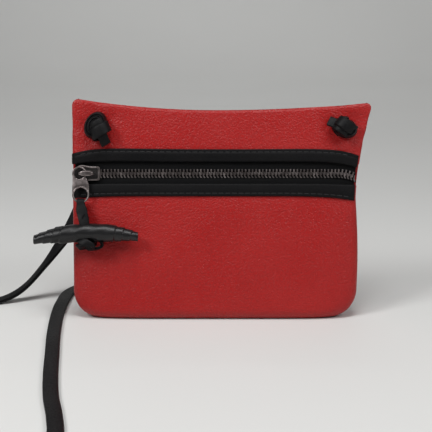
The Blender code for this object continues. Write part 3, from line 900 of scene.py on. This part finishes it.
def makeTab():
    # a flat tab with a thin ring at the bridge and a raised rim round its hole
    leg, tilted = tabFrame()
    hole = (pull["hole"][0] - leg, pull["hole"][1])
    half, rim = pull["thick"] / 2, pull["rim"] - 0.25
    outline = arc(hole, rim, 180, 360, 28) + [(hole[0] + rim - 0.1, -8.5), (hole[0] + rim - 0.6, -6.6)]
    outline += [(hole[0] + rim - 1.4, -4.8), (hole[0] + rim - 2.2, -3.2)] + arc((0, 0), 4.7, -15, 180, 24)
    outline += [(hole[0] - rim, -3.0)]
    tab = plateFrom("tab_plate", outline, half - 0.15, -half + 0.15, 0.2, 2)
    for centre, radius in (((0, 0), pull["ring"][0] + 0.2), (hole, pull["holeRadius"] + 0.1)):
        drill = plateFrom("drill", arc(centre, radius, 0, 352.5, 47), 3, -3, 0)
        applied(tab, "BOOLEAN", operation="DIFFERENCE", solver="EXACT", object=drill)
        bpy.data.objects.remove(drill)
    ringMiddle = sum(pull["ring"]) / 2
    rings = [
        ringOf("tab_ring", (0, 0), ringMiddle, 0.55, 1.1),
        ringOf("tab_rim", hole, (pull["holeRadius"] + pull["rim"]) / 2, 0.62, 1.05),
    ]
    shell = joined("tab_metal", [tab, *rings])
    settled(shell, tilted)
    fitted(smooth(shell, 35), metal, "pull", "gunmetal", "pull_tab")


makeSlider()
makeBridge()
makeTab()
print("slider and pull assembled")


# lace, toggle and their knot

toggle = {
    "middle": (0.6, 9.0, -42.0), "half": 36.5, "turn": 5.6, "arch": 0.0030, "tip": 0.03,
    "steps": [(0.0, 6.4), (12.0, 6.25), (18.6, 5.95), (19.1, 5.25), (24.2, 5.05), (24.7, 4.4), (29.8, 4.1),
              (30.3, 3.5), (35.2, 3.2), (36.5, 2.7), (60.0, 2.5)],
}
lace = {"width": 7.4, "thick": 1.5}


def makeLace():
    # a flat lace through the tab's hole, both its ends in the toggle
    x0, x1 = pull["hole"][0], toggle["middle"][0]
    stops = [
        (x1, 9.9, -44.0), (x1 - 0.4, 9.7, -38.0), (x1 - 1.4, 9.2, -32.0), (x0 + 1.2, 8.2, -27.0),
        (x0 + 0.3, 7.3, -22.5), (x0, 6.95, -20.0), (x0, 6.45, -18.7), (x0, 5.2, -18.1), (x0, 3.95, -18.7),
        (x0, 3.45, -20.5), (x0 + 0.6, 4.5, -24.5), (x0 + 2.0, 6.5, -30.0), (x1 - 0.8, 7.8, -36.0),
        (x1, 8.2, -44.0),
    ]
    way = smoothWay([onZip(*stop) for stop in stops], 0.8)
    middle = [onZip(x0, 5.2, -20.2), onZip(x1, 9.0, -60.0)]

    def out(k):
        near = middle[0].lerp(middle[1], ease((middle[0].z - way[k].z) / 34.0))
        return way[k] - near

    def taper(share):  # bunched up where it passes round the rim
        return 0.72 + 0.28 * ease((abs(share - 0.5) - 0.06) / 0.1)

    strip = ribbon("lace_strip", way, foldedBand(lace["width"], lace["thick"]), out, taper)
    strip.data.materials.clear()
    strip.data.materials.append(strapLeather)
    onZip(x1, 7.9, -31.0) * mm
    onZip(x1, 7.9, -36.5) * mm
    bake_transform(strip)
    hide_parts("pull_lace", "toggle_lace")


def rollRadius(distance, turn):
    # a tapering strip rolled up: each layer ends on a slant, 5.6 mm further out than the last
    slanted = distance + toggle["turn"] * (turn / (2 * math.pi) - 0.5) * ease((distance - 9.0) / 8.0)
    for (a, ra), (b, rb) in zip(toggle["steps"], toggle["steps"][1:]):
        if slanted <= b:
            return ra + (rb - ra) * max(0.0, slanted - a) / (b - a)
    return toggle["steps"][-1][1]


def makeToggle():
    long, around = 220, 56

    def place(i, j):
        x = toggle["half"] * (2 * i / long - 1)
        turn = 2 * math.pi * (j % around) / around
        radius = rollRadius(abs(x), turn if x > 0 else 2 * math.pi - turn)
        if i in (0, long):
            radius = 0.0
        radius *= 1 + 0.015 * math.sin(0.5 * x + 3 * turn)
        sag = -toggle["arch"] * x * x + toggle["tip"] * x + 0.7
        mx, mo, mz = toggle["middle"]
        return onZip(mx + x, mo + radius * math.sin(turn) * 0.98, mz + sag + radius * math.cos(turn))

    roll = smooth(loft("rolled_leather", long, around, place), 32)
    fitted(roll, toggleLeather, "toggle", "black_leather", "rolled_toggle")


def wrapKnot(name, centre, size, tilt, band, phase, share):
    # an overhand knot: the band runs twice round a ring and three times through it
    lean = Matrix.Rotation(-leanTurn, 3, "X")
    spin = Matrix.Rotation(math.radians(tilt[0]), 3, "Y") @ Matrix.Rotation(math.radians(tilt[1]), 3, "X")
    points, outs = [], []
    for k in range(121):
        t = 2 * math.pi * share * k / 120 + phase
        radial = Vector((math.cos(2 * t), 0, math.sin(2 * t)))
        outs.append(lean @ spin @ (radial * math.cos(3 * t) + Vector((0, 1, 0)) * math.sin(3 * t)))
        local = spin @ (radial * (0.52 + 0.42 * math.cos(3 * t)) + Vector((0, 1, 0)) * 0.5 * math.sin(3 * t))
        points.append(centre + lean @ Vector((local.x * size[0], local.y * size[1], local.z * size[2])))
    return ribbon(name, points, band, lambda k: outs[k])


def makeLaceKnot():
    mx, mo, mz = toggle["middle"]
    centre = onZip(mx + 2.4, mo + 1.2, mz - 7.2)
    knot = wrapKnot("lace_end_knot", centre, (9.8, 5.0, 4.4), (8, 58), foldedBand(5.0, 2.0), 0.4, 0.97)
    fitted(knot, strapLeather, "toggle", "black_leather", "lace_knot")


makeLace()
makeToggle()
makeLaceKnot()


# strap knots on the front

knots = {
    "left": {"loop": (6.6, 9.4, -22, -1.0, 0.6, 30, 640), "wrap": (4.6, 3.9), "axis": -66, "turns": 2.04, "pitch": 4.0,
             "middle": (2.4, -0.6), "tail": [(3.8, -5.0, 5.2), (5.4, -9.0, 4.0), (6.8, -12.2, 2.6)]},
    "right": {"loop": (6.4, 8.0, 70, 0.4, -0.6, 10, 640), "wrap": (4.6, 3.7), "axis": 50, "turns": 2.04, "pitch": 3.2,
              "middle": (-1.4, -0.4), "tail": [(-5.0, 1.8, 4.6), (-8.6, 3.2, 3.8), (-11.6, 4.4, 2.6)]},
}


def makeStrapKnot(side):
    # the folded band wound tight over its own loop, its end coming out beside it
    made = knots[side]
    x, z = holes[side]
    lean = Matrix.Rotation(-leanTurn, 3, "X")
    centre = Vector((x, surface(acrossAt(x, z), z, -1).y, z))
    band = foldedBand(8.0, 2.5)

    def at(right, up, out):
        return centre + lean @ Vector((right, -out, up))

    wide, tall, tilt, right, up, start, end = made["loop"]
    spin, path, outs = math.radians(tilt), [], []
    for k in range(101):  # it winds inwards, so that no gap shows through
        turn = math.radians(start + (end - start) * k / 100)
        inner = 1 - 0.5 * k / 100
        a, b = inner * wide * math.cos(turn), inner * tall * math.sin(turn)
        path.append(at(right + a * math.cos(spin) - b * math.sin(spin), up + a * math.sin(spin) + b * math.cos(spin),
                       4.6 + 0.6 * math.sin(2 * turn)))
        a, b = tall * math.cos(turn), wide * math.sin(turn)
        outs.append(lean @ Vector((a * math.cos(spin) - b * math.sin(spin), -1.5, a * math.sin(spin) + b * math.cos(spin))))
    parts = [ribbon("loop", path, band, lambda k: outs[k])]

    axis = Vector((math.cos(math.radians(made["axis"])), math.sin(math.radians(made["axis"]))))
    wrapPath, wrapOuts = [], []
    for k in range(121):
        turns = made["turns"] * k / 120
        turn = 2 * math.pi * turns - 1.9
        grow = 1.1 * turns
        along = made["pitch"] * (turns - made["turns"] / 2)
        a, out = (made["wrap"][0] + grow) * math.cos(turn), (made["wrap"][1] + grow) * math.sin(turn)
        wrapPath.append(at(made["middle"][0] + axis.x * along - axis.y * a, made["middle"][1] + axis.y * along + axis.x * a,
                           out + 4.6 + 0.5 * grow))
        a, out = made["wrap"][1] * math.cos(turn), made["wrap"][0] * math.sin(turn)
        wrapOuts.append(lean @ Vector((-axis.y * a, -out, axis.x * a)))
    parts.append(ribbon("wraps", wrapPath, band, lambda k: wrapOuts[k]))

    end = smoothWay([at(made["middle"][0], made["middle"][1], 4.0), *(at(*stop) for stop in made["tail"])], 0.8)
    parts.append(ribbon("tail", end, foldedBand(7.2, 2.5), lambda k: lean @ Vector((0.25, -1, 0.2))))
    knot = joined(side + "_knot_band", parts)
    return fitted(knot, strapLeather, "pouch", "black_leather", "strap_knot_" + side, "strap_tail_" + side)


leftKnot = makeStrapKnot("left")
rightKnot = makeStrapKnot("right")
print("lace, toggle and knots tied")


# floor and light

studio = {"near": -3.0, "far": 2.3, "wide": 5.0, "up": 2.4, "cove": 0.8}


def makeSweep():
    # a flat floor that curves up into a backdrop
    bpy.ops.object.select_all(action="DESELECT")
    bpy.ops.mesh.primitive_plane_add(size=1, location=(0, (studio["near"] + studio["far"]) / 2, 0),
                                     scale=(2 * studio["wide"], 1, 1))
    floor = named("pale_floor")
    bpy.ops.transform.resize(value=(2 * studio["wide"], studio["far"] - studio["near"], 1))
    bpy.ops.object.transform_apply(location=True, rotation=True, scale=True)
    for edge in floor.data.edges:
        ends = [floor.data.vertices[v].co.y for v in edge.vertices]
        edge.select = min(ends) > studio["far"] - 0.01
    for face in floor.data.polygons:
        face.select = False
    for vertex in floor.data.vertices:
        vertex.select = vertex.co.y > studio["far"] - 0.01
    bpy.ops.object.mode_set(mode="EDIT")
    bpy.ops.mesh.select_mode(type="EDGE")
    bpy.ops.mesh.extrude_region_move(TRANSFORM_OT_translate={"value": (0, 0, studio["up"])})
    bpy.ops.object.mode_set(mode="OBJECT")
    applied(floor, "BEVEL", width=studio["cove"], segments=24, limit_method="ANGLE")
    smooth(floor, 60)
    floor.data.materials.append(paleSweep())


lamps = {
    "left_softbox": {"at": (-0.75, -0.6, 0.85), "size": 0.4, "power": 7.6},
    "right_softbox": {"at": (0.8, -0.65, 0.85), "size": 0.45, "power": 5.4},
    "top_softbox": {"at": (0.0, -0.35, 1.2), "size": 0.5, "power": 6.5},
    "rear_softbox": {"at": (0.0, 1.3, 1.7), "aim": (0.0, 2.3, 0.7), "size": 0.9, "power": 11.0},
}


def makeLamps():
    for name, lamp in lamps.items():
        bpy.ops.object.light_add(type="AREA", location=lamp["at"])
        light = named(name)
        light.data.size = lamp["size"]
        light.data.energy = lamp["power"]
        aim = Vector(lamp.get("aim", view["target"])) - Vector(lamp["at"])
        light.rotation_euler = aim.to_track_quat("-Z", "Y").to_euler()
    world = bpy.data.worlds.new("studio air")
    world.use_nodes = True
    world.node_tree.nodes["Background"].inputs["Color"].default_value = (0.95, 0.97, 1.0, 1)
    world.node_tree.nodes["Background"].inputs["Strength"].default_value = 0.08
    bpy.context.scene.world = world


makeSweep()
makeLamps()
print("studio lit")
